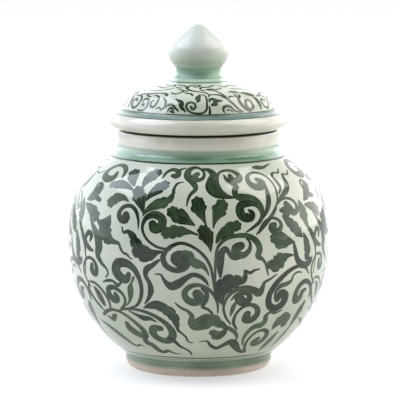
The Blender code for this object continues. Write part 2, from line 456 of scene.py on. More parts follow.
BODY_SCROLLS = [
    # central stems and the great curls that they end in
    [6.8,57,1, 6.2,63,1.4, 5,70,1.6, 2.3,76,1.7, -2.5,81,1.7, -7.5,82.9,1.8, -12.3,80.2,2.4, -15,75.2,3,
     -13.8,70.2,3.2, -9.5,67.6,3, -5.6,69.4,3.5, -4.6,73.4,4.2, -7.2,76.3,5, -9.6,74.5,6, -8.4,72.2,5.5],
    [7,58,1, 7.1,66,1.4, 7.3,74,1.6, 8.2,80.5,1.7, 11.5,85,2, 16.5,86.7,2.4, 21.5,86.2,2.8, 25.3,83,3.4,
     26.8,78.5,3.6, 26,74.5,3.4, 28,72.8,2, 29.6,70.3,1.6, 30.5,66.5,1.4, 31.3,63,0.8],
    [20.5,85.5,1, 22.3,82.5,1.5, 22,78.5,2.5, 19.5,75.8,3.5, 16.5,76.5,4.5, 15.9,79.6,5, 18.2,80.9,4.5],
    [9.4,63.5,1.2, 9.2,68,3.2, 9.3,73,4, 9.8,77.5,3.8, 11.4,79.8,2.8, 12.8,77.6,2.4, 14.4,74.6,2.2, 17,74,1.6,
     18.3,74.6,0.7],
    [-6,78.6,1.2, -3.5,76.8,3.4, -2.8,73.4,4.4, -0.5,71.3,5, 1.8,70.3,3.2, 3.4,67.8,1.6, 4.4,65,0.8],
    # great curl at the upper left
    [-12,79.3,1.2, -17.5,80.3,1.5, -22.5,84.5,1.5, -24.8,90.5,1.7, -23.5,95.8,2.8, -19.5,98,4.2, -16,95.8,4.6,
     -16.2,91.8,5, -19.2,90.6,5.5, -20.2,92.8,4.5],
    # small curl beside it
    [-26.7,90,0.8, -27.2,95,1.6, -29,99.5,2.2, -32,101.8,2.2, -35.8,100.8,2.4, -37.6,97.2,3, -36,94.2,4,
     -33.5,94.6,5, -33.8,96.6,4.5],
    # tall leaf stem at the left, with its tendril
    [-57,94.5,0.6, -52.5,88,3.2, -48.8,82.5,5.6, -47.8,77.5,6, -48.5,72.5,4, -46,68,2.4, -43.3,65.3,1.5,
     -42.6,62.5,1.3, -44.2,60.3,0.9],
    [-51.8,74.3,1.5, -55.2,75.8,3.2, -57.8,79.4,3, -57,82.7,3, -55,84.4,3, -53.2,82.8,3.2, -54,80,2],
    # curls under the shoulder line
    [-43,116,1.5, -44,119,2.8, -48.5,121.3,2.8, -54,121.3,2.5, -58,118.8,3.5, -57.5,115.8,4, -53,114.3,4.5,
     -49,115.5,4, -49.5,117.8,2.5],
    [-19,117,0.8, -17.8,120,2, -14.5,121.5,2.6, -11.2,120.2,3, -11.8,118.3,4, -13.6,118.6,3],
    [-11.5,120.5,2.2, -9.5,121.8,1.4, -6.8,122.3,0.7],
    [-5.2,103,0.7, -4.8,106.5,1.4, -3.5,109.5,1.8, -1.3,112,2.4, -2.6,115.2,3.6, -5.6,118.2,4.2,
     -5.4,121.2,3.2, -2,122.6,2.2, 1.5,121.8,1.6, 3.2,119.8,1.6, 2.2,117.4,2.2, -0.3,116.6,3, -2,118.2,3.5,
     -0.5,119.5,3],
    [16.3,107,0.8, 12.5,107.9,2.6, 9.2,109.8,6, 7.2,112.6,8, 7.4,116,6.5, 8.3,119,4.5, 6,121.3,3,
     2.5,121.8,1.8],
    [16.5,107.4,0.8, 13,109.2,1.2, 10.8,112,1.4, 9.8,116,1.5, 11.4,119.8,1.7, 15.5,121,2, 19.6,120.4,2.6,
     22.2,118,3.4, 20.5,116,4, 17.6,116.6,3.6, 17.2,118.6,2.5],
    # great curl at the upper right and its wavy end
    [20.8,88.3,0.8, 24,90.6,1.6, 27.6,93.6,2.2, 29.4,97.5,2.6, 28.8,101.8,4.2, 25.8,105.2,5.5, 21.5,106.8,5,
     17.8,108.2,3.5, 17.6,110.8,3.2, 18.8,113,3, 16.6,115,2.6, 14.6,116.8,2.2, 13.8,119,0.8],
    [26.8,103.3,2.5, 23.6,103.8,3.5, 19.6,103,4.5, 18.8,99.2,5, 20.5,96.4,5, 23.6,96.8,5, 24.3,98.6,3.5,
     23,100.2,1.5],
    # fan of long stems at the right
    [25.6,86.8,1, 28.8,90.8,1.4, 32.3,94.8,1.3, 36,99.3,1.2, 39,104.3,1.2, 40,109,1.4, 39.8,113,1.4,
     38,116.8,1.5, 34.5,118.8,1.5, 30.3,119.2,1.7, 26.7,117.6,2.2, 26.2,114.6,3.2, 28.5,112.4,4.2,
     32,112.3,4.6, 33.6,114.2,4.2, 31.5,115.8,3],
    [26.8,87.3,0.7, 30.4,91.2,0.8, 34.4,95.6,0.8, 37.8,100.5,0.7],
    [29.2,95,0.8, 31.8,99,2.4, 34,104.5,3.2, 34.4,109,2.6, 35,113.5,0.8],
    [38.5,103.3,0.8, 42.5,106.3,2.4, 46.5,109,3.4, 48.8,112,3.4, 49.3,115,2.4, 50.5,117,1.6, 54,116.6,1.2,
     57.5,118.5,1],
    [41,107.5,0.8, 43.4,110.8,2, 42.8,114.2,2.4, 42.2,117,1.8, 44.5,118.3,1.3, 48,118,1.2, 51,119.8,0.8],
    [34,121.6,2, 37,121.5,3.4, 40.5,121.3,2.2, 43.5,121.8,1.4, 48,122.6,0.7],
    [37.8,101.5,0.8, 40.6,104,1.4, 44.6,104.8,1.6, 48.4,103.2,1.8, 50.2,100.2,2.4, 49.6,97.2,3, 47,96.8,4,
     45.2,99.3,4.6, 43.6,101.5,4],
    [39.5,98.6,2, 41.5,98.3,4.5, 43.5,97,4, 41.8,95,2.5, 40.6,93.5,1.2],
    [27,89.3,0.8, 30,93.3,1.3, 33.5,95,1.5, 36.9,94,1.8, 38.6,91,2.4, 37.3,88.2,3.2, 34.4,87.8,4,
     33.2,90.3,4.2, 35.2,91.2,3],
    [45,80,1.5, 46,75.5,3, 47.2,70.5,3.6, 50.3,66.8,4, 54,66,3.6, 57.5,67.3,2.2, 58.3,70,1.2],
    [56.2,88,0.8, 58,84,3.2, 60.4,79.5,3.6, 61.4,74,1.8, 61.6,68,1.2, 60.5,60,1],
    [67,103.5,2.5, 63.5,105,3.2, 60.5,108.5,2.4, 60.3,111.5,1.6, 63,112.6,1.4, 65.5,110.5,1.6,
     64.6,107.6,2.4],
    # lower left: looped curls, and the pair of great arcs
    [-55.5,52.5,0.8, -58.8,57,1.6, -60.2,61.5,1.8, -59,66.5,1.8, -55.6,69.8,1.8, -51.6,68.8,2.2, -49.8,65,3.2,
     -50.8,61.5,4, -53.2,62.6,4.2, -53,65.6,3.5],
    [-55.5,56,1.6, -51.5,55.3,1.8, -47.5,51.8,2, -45,47.3,2.2, -44.8,42.8,1.6, -46.5,40,0.8],
    [-57,55.5,1.6, -58,51,2.4, -56,46.5,2.4, -53,42.5,2.2, -50.5,39.5,1],
    [-53.5,53,1.5, -51.5,50.5,4, -50,47,4.8, -48.8,43.8,3],
    [-38,42.6,1.4, -35.3,45.5,1.8, -34.6,49.5,1.8, -36.6,53,2.2, -40.3,55,2.8, -43.4,53.6,3.4, -43.4,50.4,4,
     -41,47.6,4.6, -39,48.6,4.2, -39.6,51,3],
    [-33,43.8,0.8, -28.8,45.8,1.5, -26.2,50.5,2.2, -25.3,56.5,2.4, -26.3,62.3,2.8, -28.6,67.3,3.6,
     -32.6,70,4.6, -36.6,69.2,5.6, -37.8,65.2,6, -35.6,61.5,5.5, -32.4,60.8,4.5, -31.2,63.6,3],
    [-34.3,45,0.7, -32.2,48,1.5, -31.2,52,3.4, -30.8,56,3.6, -30,59,1.2, -29,61.5,1.8, -28.6,63,0.6],
    [-46.3,57.3,0.8, -43,58.6,1.8, -40,58.6,1.6, -37.6,56.6,2.2, -35.8,58,1.5],
    [-16,73.6,0.8, -17.8,72,2, -19.6,70,2.6, -22.4,67.5,3.6, -23,63.8,2.6, -21.5,60,2.6, -20.9,55.8,3.4,
     -22.2,51,2.2, -24.6,47,0.8],
    [-42,40.2,0.8, -36.5,42.5,1.5, -30.5,43.2,1.8, -24,41.8,2.2, -18.4,38.4,2.8, -14.4,33.8,3.6,
     -13.2,28.8,4.4, -16.2,24.6,4.8, -20.8,25,4.6, -23.8,28.6,4.4, -22.6,32.2,4.6, -19.2,32.4,4],
    [-34,42,0.8, -30,39.8,2, -26.6,38.2,3.6, -23.4,38.2,2.6, -20.2,36.4,0.8],
    [-15,26,3.6, -12.6,23.8,2.4, -10.2,20.8,1.8, -7,19,1.4, -5,17.2,1.2, -4,14.8,0.7],
    [-52.5,36.8,2, -47.5,40,2.2, -42.6,41.2,1.8, -37.4,39.4,2, -32.6,35.2,2.6, -29,30.2,3.4, -29.2,26.6,4.2,
     -33.4,27.4,5, -37,30.6,5.2, -37.6,33.6,3],
    [-29.4,27,2.4, -30.2,24.6,3.4, -30,22,3.8, -27.2,20.7,3.8, -25.6,18.4,3.6, -23.4,16.7,3, -21,16.5,2.4,
     -18.6,17.7,2.2, -16.6,16.6,1.6, -14,15.8,1.2, -11.2,15.6,0.7],
    [-59,32.5,1, -53.5,29.5,3, -49,26,4, -45,22.4,3.4, -41.4,19.4,2.4, -38.8,18.7,1.8, -36.4,19.9,1.4,
     -33.8,19.1,0.8],
    [-49.5,36.5,1.2, -46.5,34.8,3, -44,37.3,3, -42.5,38.3,1.2],
    # the wave and the curl under it, front centre
    [-19,65,0.6, -16.2,64.8,1.2, -14.4,61.2,2.2, -11.8,58.4,4.4, -8.6,60,4.6, -5.6,63,3.2, -2.2,65.2,2.6,
     0.8,64.2,2.4, 3.2,61.4,1.8, 4.3,59,0.8],
    [8.8,42.5,0.8, 8.5,48,1.5, 6.8,53.3,1.8, 3.6,57.5,2, -0.2,59.3,2.2, -3.8,58.2,2.8, -6,54.6,3.2,
     -4.8,50.6,3.8, -1.6,49.2,4.6, 0.8,51.4,5.2, -0.6,54.2,5.2],
    [1.5,57.3,1.5, 3.6,54.6,2.4, 3.2,50.3,2.6, 1.8,46.6,2, 4.2,45,1.6, 6.2,42.5,1.4, 6.8,40,0.8],
    [-10.4,48.8,0.8, -7.8,45.8,1.6, -5,44,1.8, -3,41,2.6, -3.6,37.2,3.4],
    # lower right: stem with its curl, the great ring, and the waves at the foot
    [15.6,35.3,0.9, 12.6,40.2,1.4, 11.3,46,1.5, 12.8,52,1.8, 16.6,56,2.4, 21,56.7,3.2, 24.8,55,4,
     27.6,53.2,4.4, 28.8,56,3, 29.6,59,2, 32.4,60.8,1.4, 35.8,63.2,0.8],
    [14.5,50,0.8, 16.4,53,1.6, 19.4,54.2,2.4, 22.6,52.8,3, 22.8,49.6,3.8, 19.8,48.6,5, 18.2,50.8,5.5],
    [17.6,49.6,0.8, 16,46.6,2.4, 15.3,43,2.2, 14.8,40.6,0.8],
    [19.2,32,1.2, 17,36,1.8, 17.3,41,1.8, 20,45.2,1.8, 24,46.6,2.2, 27.4,44.4,3, 28.3,40.6,3.6, 26,37.2,4.4,
     22.8,37.8,4.6, 23,40.8,4.6],
    [56.5,60.5,1, 54,64,1.6, 49,66,2, 43.6,64.6,2.6, 38.6,60.8,3.2, 34.6,55.8,3.6, 32.8,50.2,3.8, 33.8,45.2,4,
     37.6,42.8,4.6, 41.6,45,5, 42.2,49.6,5, 39.2,51.4,5, 37.8,48.4,4],
    [36,49,1.2, 36.2,53,2, 38.6,56,2.8, 42,56.8,2.6, 44.6,58.2,2, 45.6,61.2,1.4, 48,62.6,1.2, 51.2,62,0.7],
    [61.5,45.5,1.5, 61,50.5,2.4, 58.5,54.5,2.6, 54.5,56.2,3, 50.6,54,3.4, 49,49.6,4, 50,45.8,4.6, 53,46.6,4.6,
     53.8,50,3.6, 56.5,51.3,1.5],
    [26,20.8,1, 24.9,25,1.8, 26,29.4,2.8, 29,32.6,3.6, 32.4,33.2,4, 34,35.6,3.4, 33.5,38.8,2.6, 35.6,40.8,1.8,
     38.4,39.8,1.5, 42.8,41.2,0.8],
    [30.6,15.4,1.6, 28,19.6,1.8, 28.2,24.6,1.8, 31.4,28.8,2, 35.6,29.6,2.4, 39,27,3, 38.6,22.8,3.6,
     35.2,20.6,4.2, 32.6,21.8,4.2, 34.4,24.2,3],
    [0.4,24.3,0.6, 4.6,24.8,1.2, 6.8,21.8,2, 10.4,19.8,2.6, 14.6,22,3, 18.2,23.6,4.6, 21.2,21,4.6,
     24.6,17.6,3, 28.5,15.8,2.2, 31,15.4,1],
    [42.5,15,1.2, 43.6,18.4,4, 45.2,22.4,4.2, 47,26.6,1.5],
    [52,16.5,1, 53.5,21,3, 55,26.5,2.5, 56.5,31,1],
]

BODY_LEAVES = [
    # flower at the upper left
    [-24.8,98,1, -26,101.5,3.2, -27.4,104.8,6.2, -28.8,107.8,7.8, -30,110,4.6],
    [-33,112.4,1, -34.6,114.4,4, -36.2,116.8,6.6, -37.6,118.8,4.6],
    [-33,110.4,1, -36.8,111.9,3.2, -41,112.6,5.2, -45.6,112.2,4.4, -47.4,111.8,2.6],
    [-33.6,104,0.8, -36.5,105.6,2.8, -39.6,105.6,5, -42.4,104.2,6, -43.8,102.6,4.2],
    [-28,111.6,0.8, -27.8,114,3.2, -26.6,116.6,6.2, -24.8,118.6,7, -23.6,119.7,4.4],
    [-24.8,105,0.8, -23.2,108,3.2, -20.8,110.8,5.6, -18.2,113,6, -16.8,113.9,4],
    [-25.2,97,0.8, -23.5,100,2.5, -20,103,5, -16.4,104.6,5.8, -13.6,106.2,3.8, -12,109,2.2, -11.8,112,1.6,
     -10.6,114.6,1.3, -7.5,115.6,0.7],
    # flower at the centre
    [3.4,92.7,0.8, 2.3,96,2.2, 1.1,99.2,5, 0.2,102.4,8, -0.4,105.3,4.6],
    [6.4,91.3,0.8, 6.9,94.3,2, 7.8,97.2,4.2, 9.2,100.6,7.6, 10.6,103.8,4.6],
    [7.6,83.3,1.2, 9,86.3,3.6, 11.6,89.2,5.6, 14.6,91.4,6, 16.8,92.3,3.8],
    [5.2,78.2,0.8, 4.9,81.5,2.8, 4.1,85,5.8, 3,88,7.6, 2,90.2,4.2],
    [0,87.5,1, -3.5,89,2, -7,89.4,5, -11,89,6.6, -13.8,88.2,4.2],
    [-1.6,92.8,1, -4,94.6,3.6, -7,96.8,7.2, -9.8,98.6,7.4, -11.8,99.9,4.2],
    # leaves at the left
    [-14.8,78,1, -17.5,77.3,2.5, -21,76,7, -25,77,9, -27.3,81,6.5, -29.3,85.5,4, -31.5,87.8,2.4, -34,87.2,1.5,
     -35,90,0.9],
    [-42.5,95.2,1.5, -43.3,92.6,5.5, -44.6,89,9, -43.6,84.8,9, -41,82,5, -38,81.2,2.4, -36,80.4,1.8,
     -35,77.8,1.5, -33.8,75.8,1.5, -31.8,75,1.3, -30.6,73.4,1, -29.2,72.6,0.7],
    [-50,91.5,1.5, -47.5,90.5,4.5, -45,89,5],
    [-62.5,99.5,1.2, -58.5,98,4.5, -54.5,96,6.5, -51.8,94,4.5],
    [-62,102,1.5, -59,104,5.5, -56.5,106.5,7, -55,109,4],
    # leaves at the right
    [40.5,95.3,2, 43.2,92,5, 46,88.8,6.2, 49,85,5, 51,82.5,1],
    [45.8,80,0.8, 43,81,3.5, 40,81.5,7.5, 36.8,82.5,8.5, 34.2,84,4],
    [52,84,1.5, 53.5,79.5,4.5, 54.5,74.5,5.5, 54.5,70,4, 57,69,1.5],
    [52.6,103,0.8, 53.4,99,5, 54,95,7, 54.8,90.5,4, 56.2,85,0.8],
    [44.8,73,0.8, 41,73,3, 37.6,71.2,8, 34.4,69,8, 31.6,69,3],
    # lower leaves
    [-25.5,44.6,0.8, -22.4,46,3.4, -19,46.8,5.4, -15.6,45,5.8, -12.4,41.8,6, -10.8,37.8,4.4, -10.4,34,2.4,
     -9.8,31.4,1.6, -7.8,29.2,1.3, -6.4,27.2,1.2, -5.8,24.9,1.1, -4.4,23.8,1, -2.8,23.7,0.7],
    [-4.2,36.5,2.2, -1.8,34.6,6, 1.8,36.3,9, 5.8,38,8.5, 9.4,36.2,5.5, 13.2,33.6,3, 17.6,31,2.4,
     20.3,27.6,1.8, 20.8,24.4,0.8],
    [13.8,33.6,1.2, 12.6,30,4, 9.6,28.4,6.5, 7.2,30.4,3],
    [10.8,47.5,0.8, 9.6,52,5, 10.2,56.8,9, 13,60,9, 16.6,61,6.5, 19.6,61.4,3.4, 20.4,64.4,2.6, 20,66.8,1.6,
     22.4,65.4,1.8, 24.4,66.6,1.4, 26.8,67.2,0.8],
    [41.3,29.5,1.5, 43,33,6, 46,35.6,7, 49,35.8,4.5, 48.5,31.5,3.5],
    [56,30.5,3, 56.5,35,5, 57.5,39.5,5, 58.5,43,2],
]

LID_SCROLLS = [
    # the big curl at the front, and the stems that run along the middle of the dome
    [0,36.4,0.8, 3,36.5,1, 5.6,37.4,1.1, 6.6,39.4,1.2, 6.6,42,1.2, 5.9,44,1.3, 3,44.9,1.3, -2,45,1.3,
     -6,44.6,1.4, -9,43.3,1.6, -8.6,42,1.6, -5.6,41.5,1.4, -2.8,42.1,1.3, -2.3,43.2,1.4, -4.2,43.8,1.8,
     -5.6,43.1,1.8],
    [-60,40,0.8, -57,38.6,1.3, -51,37.8,1.4, -46,37.4,1.4, -40,36.4,1.3, -34,35.9,1.4, -30.6,36.3,2,
     -28.8,37.2,2.2, -28,38.2,1.2],
    [-54,34.4,0.8, -47,33.6,1.2, -40,32.4,1.3, -33,30.6,1.3, -28,29.4,0.8],
    [-26.6,34.4,0.8, -24.2,35.5,1.4, -21.2,35.9,1.7, -18.3,35,1.7, -15.6,33.4,1.7, -15,31.9,1.6,
     -17.6,30.9,1.5, -20.8,30.8,1.2],
    [-15.6,31.6,1.2, -12,32.4,1.4, -10,33,0.8],
    [-13.4,34.2,0.8, -10.8,35.1,1.7, -8.2,35.1,1.5, -6.2,36,1.6, -5,37.2,1.2],
    [-29,24,0.8, -22,25,1.3, -17,25.7,1.5, -14,27.2,1.7, -12,29.6,1.8, -8,31.3,1.8, -4,32.4,1.6, 1,33.2,1.4,
     5,34,1.3, 8.4,35.4,1.4, 10,36.8,0.9],
    [8.6,38.4,0.8, 9.4,37.2,1.2, 12.4,36.5,1.3, 15.6,36.6,1.5, 19,37.2,1.6, 21.4,38.4,1.7, 24.4,40.2,1.8,
     26,41.4,1.7, 28.8,42.9,1.5, 31,44,1.3, 34.4,44.9,0.9],
    [10,31.2,0.8, 14,31.2,1.2, 17,32.2,1.4, 19.8,34.2,1.6, 21.4,36,1.6, 22.6,37.6,1.5, 24,39.4,1.2],
    # curls in the lower half of the dome
    [-29,44.4,0.8, -26,43.4,1.4, -23.8,42.7,1.6, -21,42.5,1.6, -18.8,43,1.5, -16.6,43.8,1.4, -14.6,44.4,1],
    [-23,44.8,0.9, -22.4,43.9,1.2, -20.6,43.5,1.3, -18.6,44,1],
    [-20.2,44.5,1.8, -18.8,44.7,1.6, -17.6,45,0.8],
    [-63,39.8,0.8, -59.6,39.4,1.2, -55,39.7,1.5, -52,41,1.6, -52.4,43,1.6, -56,44.3,1.7, -60.2,43.8,1.8,
     -61.2,42.3,1.7, -58.6,41.3,1.6, -56,42,1.4],
    [-51,44.8,0.8, -47.6,44.9,1.2, -43.6,44.4,1.4, -42.2,42.9,1.6, -43.4,41.2,1.7, -46.6,40.8,1.8,
     -48.4,42,1.6, -46.8,43.2,1.4, -45.2,42.6,1.1],
    [-49.6,38.6,0.8, -46.4,39.1,1.4, -43.2,39.4,1],
    [-40.6,38.2,0.8, -37,38.5,1.3, -34.2,39.8,1.5, -33.8,41.8,1.6, -35.8,43.5,1.6, -38.8,43.3,1.6,
     -39.4,41.9,1.4, -37.6,41.2,1.1],
    [-30.4,39.4,0.9, -28,40.4,1.4, -26.2,41.7,1.4, -26.4,42.8,0.9],
    [-33,44,0.8, -30.6,43.6,1.2, -28.6,44.2,1],
    [8.2,43,1, 8.5,44.2,1.4, 8.2,45,1.6],
    [19.4,44.9,0.9, 18.6,44.2,1.3, 19.6,43.2,1.7, 22.4,42.9,1.9, 25.2,43.4,1.7, 27.4,44.4,1.4, 30,44.8,1.2,
     33,45,0.8],
    [21.2,44.2,0.8, 23.6,44.2,1.1, 26.2,44.9,0.8],
    [25.6,39.9,0.8, 26.6,38.9,1.3, 28.8,38.6,1.4, 31,39,0.9],
    [40.4,41.4,1.6, 39,42.6,1.8, 40,43.9,1.9, 43,44.4,2, 45.6,43.6,2, 45.4,42.2,1.8, 43.2,41.2,1.7,
     40.8,41.3,1.4],
    [36.4,36.9,0.8, 37.6,38.2,1.5, 36.4,39.2,1.6, 34.4,40.2,1.8, 34.2,41.8,2.2, 35.8,43.2,2.2, 38,44.3,1.8,
     41,45,1.2],
    [32.6,37,0.8, 33.6,37.9,1.4, 33.4,39.2,1.2],
    # scrolls round the knob
    [-12.6,28.8,1.2, -11.8,26,1.5, -8.4,24.3,1.5, -3,23.7,1.5, 1.8,24.4,1.5, 2,25.8,1.3, -2,26.7,1.6,
     -5.4,26.3,1.7],
    [1.6,29.4,1.2, 3.4,27.8,1.6, 7.6,27,1.6, 12,27,1.5, 17,25.6,1.3, 21,24.4,0.8],
    [2.4,30.4,1, 4.4,31.3,1.7, 7,31.8,1],
    [8.6,30.2,1, 10.6,30,2, 13.4,29.8,1.7, 16,29.6,1.5, 18.4,30.5,1.4, 22,30,1.2, 27,29,0.8],
    [-60,30,0.8, -52,28.6,1.3, -44,29.4,1.4, -39,28.4,1.2, -36,26.4,0.8],
    [-48,24.4,0.8, -42,25.8,1.2, -34,24.6,1.4, -30,26.4,1.3, -33,27.6,1.1],
    [-27,27.4,0.8, -23,28.6,1.3, -19,28.2,1],
    [26,26,0.8, 33,27.4,1.3, 40,26,1.4, 46,27,1.3, 50,29.4,0.8],
    [36,30.2,0.8, 43,31,1.3, 50,31.6,1.4, 55,33.8,1.3, 59,36.4,0.8],
    [48,24.6,0.8, 55,26.2,1.3, 57,28.6,1.1],
]

LID_LEAVES = [
    [1.2,36.8,1, 0.4,38,2.4, -0.6,39.4,2.8, 0.2,40.6,2, -1.2,41.4,0.8],
    [-18.6,40,0.8, -15.8,40.8,1.6, -13.4,41.8,2.8, -13,43,2.4, -10.8,44,1.4, -9.4,44.6,0.8],
    [8.8,41.2,1, 9.2,40.2,1.6, 11,39.8,2, 13.6,40.6,2.6, 13.2,42,2.8, 10.8,42.5,1.6],
    [14.8,41.2,1, 16.4,41,2, 19,40.9,1],
    [30,34.2,1, 33.4,34.2,2.4, 36.6,34.6,3, 40,35.4,1],
    [41,35.9,1, 45.4,36.7,2.6, 49.6,38,3.2, 54.4,38.9,1],
    [50.6,39.6,0.8, 52.8,41.2,2.4, 54,43,2.6, 53.4,44.6,1.2],
]


def redrawn(marks, repeat, spread):
    """The marks of one copy of a stroke, moved round by its share of a turn; copies differ a little."""
    turn = repeat * 360.0 / REPEATS
    kind = repeat % REPEATS
    change = 1.0 if kind else 0.0
    return [
        (
            azimuth + turn + 1.4 * change * math.sin(level / spread + 2.2 * kind),
            level + 0.03 * change * spread * math.sin(azimuth / 8 + 1.7 * kind),
            width * (1 + 0.1 * change * math.sin(azimuth / 5 + level / spread + kind)),
        )
        for azimuth, level, width in zip(marks[::3], marks[1::3], marks[2::3])
    ]


def strokes_round(chart, groups, spread, step):
    """Groups of (strokes, scallop length, weight) laid round a surface, across the back seam too."""
    strokes = []
    for repeat in range(-REPEATS, REPEATS + 1):
        for group, scallop, weight in groups:
            for marks in group:
                drawn = redrawn(marks, repeat, spread)
                if max(mark[0] for mark in drawn) > -184 and min(mark[0] for mark in drawn) < 184:
                    strokes.append(Stroke(chart, drawn, scallop, weight, step))
    return strokes


# ---- materials

def linear(red, green, blue):
    """A colour given in 8-bit display values, as linear light."""
    parts = [value / 255 for value in (red, green, blue)]
    return (*[p / 12.92 if p < 0.04045 else ((p + 0.055) / 1.055) ** 2.4 for p in parts], 1.0)


class Graph:
    """Short names for the shader nodes of a material or world; a tuple is a colour in 8-bit values."""

    def __init__(self, owner, coordinates="Object"):
        owner.use_nodes = True
        self.owner = owner
        self.nodes, self.links = owner.node_tree.nodes, owner.node_tree.links
        self.position = self.node("ShaderNodeTexCoord").outputs[coordinates]
        self.axes = self.node("ShaderNodeSeparateXYZ", {0: self.position}).outputs
        self.height = self.axes["Z"]
        level = self.node("ShaderNodeVectorMath", {0: self.position, 1: [1, 1, 0]}, operation="MULTIPLY")
        length = self.node("ShaderNodeVectorMath", {0: level.outputs[0]}, operation="LENGTH")
        self.radius = length.outputs["Value"]

    def fill(self, node, sockets):
        """Links or sets a node's sockets, given by name or number."""
        for key, value in sockets.items():
            if isinstance(value, bpy.types.NodeSocket):
                self.links.new(value, node.inputs[key])
            else:
                node.inputs[key].default_value = linear(*value) if isinstance(value, tuple) else value

    def node(self, kind, sockets=None, **settings):
        made = self.nodes.new(kind)
        for key, value in settings.items():
            setattr(made, key, value)
        self.fill(made, sockets or {})
        return made

    def math(self, operation, a, b):
        return self.node("ShaderNodeMath", {0: a, 1: b}, operation=operation).outputs[0]

    def times(self, a, b):
        return self.math("MULTIPLY", a, b)

    def mix(self, amount, a, b):
        return self.node("ShaderNodeMix", {"Factor": amount, 6: a, 7: b}, data_type="RGBA").outputs[2]

    def attribute(self, name):
        return self.node("ShaderNodeAttribute", attribute_name=name).outputs["Fac"]

    def noise(self, scale, detail, vector=None):
        vector = self.position if vector is None else vector
        sockets = {"Vector": vector, "Scale": scale, "Detail": detail}
        return self.node("ShaderNodeTexNoise", sockets).outputs["Fac"]

    def vector(self, x, y, z):
        return self.node("ShaderNodeCombineXYZ", {0: x, 1: y, 2: z}).outputs[0]

    def smooth(self, value, start, end, before=0.0, after=1.0):
        """A smooth step from before to after, between start and end; start may be above end."""
        if start > end:
            start, end, before, after = end, start, after, before
        sockets = {"Value": value, "From Min": start, "From Max": end, "To Min": before, "To Max": after}
        return self.node("ShaderNodeMapRange", sockets, interpolation_type="SMOOTHSTEP").outputs["Result"]

    def past(self, value, start, end):
        """A smooth step from 0 to 1 between two levels in mm."""
        return self.smooth(value, start * MM, end * MM)

    def band(self, value, low, high, soft):
        """1 between two levels in mm, with soft edges."""
        rise = self.past(value, low - soft, low + soft)
        return self.times(rise, self.past(value, high + soft, high - soft))

    def wavering(self, value, amount, scale):
        """The value with a slow noise of some mm added, so that painted rings look drawn by hand."""
        drift = self.math("SUBTRACT", self.noise(scale, 3), 0.5)
        return self.math("ADD", value, self.times(drift, amount * MM))

    def bump(self, height, distance, strength, **after):
        sockets = {"Height": height, "Distance": distance * MM, "Strength": strength, **after}
        return self.node("ShaderNodeBump", sockets).outputs[0]

    def cloudy(self, scale, light, dark):
        """A colour that drifts between two tints."""
        return self.mix(self.smooth(self.noise(scale, 3), 0.3, 0.7), light, dark)

    def surface(self, colour, **sockets):
        """Sets the shader and returns the material."""
        self.fill(self.nodes["Principled BSDF"], {"Base Color": colour, **sockets})
        return self.owner

    def glaze(self, colour, roughness=0.07):
        """A clear glossy glaze over the colour, with the faint dimples of a fired surface."""
        dimples = self.bump(self.noise(700, 2), 0.04, 0.25)
        waves = self.bump(self.noise(60, 1), 0.3, 0.08, Normal=dimples)
        return self.surface(colour, Roughness=roughness, IOR=1.46, Normal=waves)

    def bare(self, colour, roughness=0.75):
        """Unglazed clay: matt and finely gritty."""
        return self.surface(colour, Roughness=roughness, Normal=self.bump(self.noise(1800, 3), 0.1, 0.5))


def material(name):
    return Graph(bpy.data.materials.new(name))


DARK_LINE = (34, 54, 44)


def celadon_ground(g, low):
    """Pale green glaze with a few fine specks, darker and greener over the 62 mm above the height low in mm:
    painted shade on the lower part.
    """
    colour = g.cloudy(26, (191, 195, 179), (179, 186, 168))
    deep = g.cloudy(30, (174, 180, 161), (160, 169, 148))
    # Painted shade: the ground darkens towards the bottom of the piece, where less light reaches it.
    colour = g.mix(g.past(g.height, low + 62, low), colour, deep)
    speckle = g.smooth(g.noise(1500, 1), 0.74, 0.8)
    return g.mix(g.times(speckle, 0.35), colour, (120, 130, 110))


def brushed(g, ground):
    """Green-black wash laid over the ground where a stroke passes."""
    along, across, edge, tone = (g.attribute(name) for name in ("along", "across", "edge", "tone"))
    hairs = g.noise(1, 2, g.vector(g.times(along, 0.16), g.times(across, 3.2), tone))
    wash = g.math("ADD", g.times(hairs, 0.65), g.times(g.noise(120, 3), 0.55))
    wash = g.math("ADD", wash, g.times(tone, 0.25))
    wash = g.math("SUBTRACT", wash, g.times(g.smooth(edge, 0.75, 0.15), 0.28))
    warm = g.smooth(g.noise(34, 1), 0.56, 0.72)
    deep = g.mix(warm, (8, 28, 12), (32, 34, 8))
    ink = g.mix(g.smooth(wash, 0.42, 1.1), deep, (72, 90, 64))
    bleed = g.times(g.smooth(edge, 0.0, 0.2), 0.25)
    cover = g.times(g.attribute("ink"), g.math("ADD", bleed, 0.75))
    return g.mix(cover, ground, ink)


def ringed(g, ground, value, *rings):
    """Dark rings painted with the tip of a brush, each at a level with half its width, in mm."""
    for level, half in rings:
        ground = g.mix(g.band(value, level - half, level + half, 0.12), ground, DARK_LINE)
    return ground


def lined(g, outside, lining):
    """The outside's colour, with the lining's where the shell is marked as lining."""
    return g.mix(g.smooth(g.attribute("tone"), -0.4, -0.6), outside, lining)


